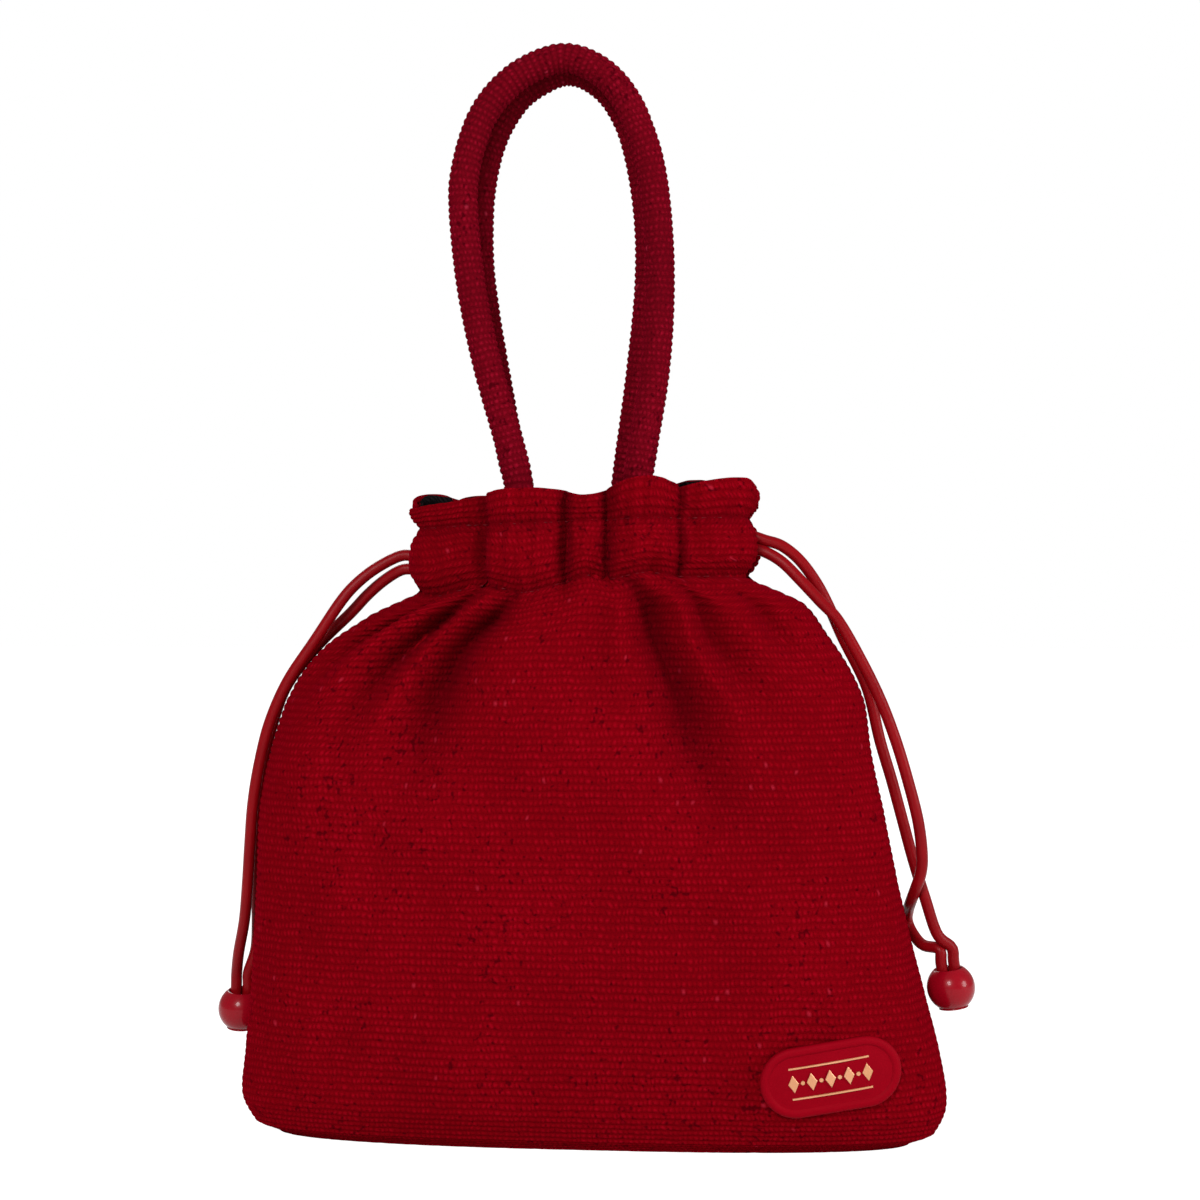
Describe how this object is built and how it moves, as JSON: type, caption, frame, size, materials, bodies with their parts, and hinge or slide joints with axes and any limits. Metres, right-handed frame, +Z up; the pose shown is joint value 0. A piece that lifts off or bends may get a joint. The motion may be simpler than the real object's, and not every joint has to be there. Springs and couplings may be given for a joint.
{
  "type": "drawstring pouch bag",
  "caption": "Soft ribbed pouch bag with a gathered mouth, side-exit drawcords with beads, round fabric loop handles and an oval badge.",
  "frame": {"origin": "centre of the flattened bottom, on the surface that the bag stands on", "axes": "+Z up through the mouth, +X along the width to the side that carries the badge, -Y out of the front with the badge"},
  "size_m": [0.2675, 0.0784, 0.3766],
  "materials": {
    "red_chenille": "ribbed chenille",
    "black_chenille": "chenille",
    "black_lining": "plain woven lining",
    "red_cord": "satin cord",
    "red_bead": "glossy",
    "core_cotton": "plain cotton filler cord",
    "badge_red": "soft moulded plaque"
  },
  "bodies": {
    "root": {"front_panel": "red_chenille", "back_panel": "red_chenille", "mouth_facing": "black_chenille", "lining": "black_lining", "left_drawcord": "red_cord", "right_drawcord": "red_cord", "left_bead": "red_bead", "right_bead": "red_bead", "front_handle": "red_chenille", "back_handle": "red_chenille", "front_handle_core": "core_cotton", "back_handle_core": "core_cotton", "badge": "badge_red"}
  },
  "joints": []
}
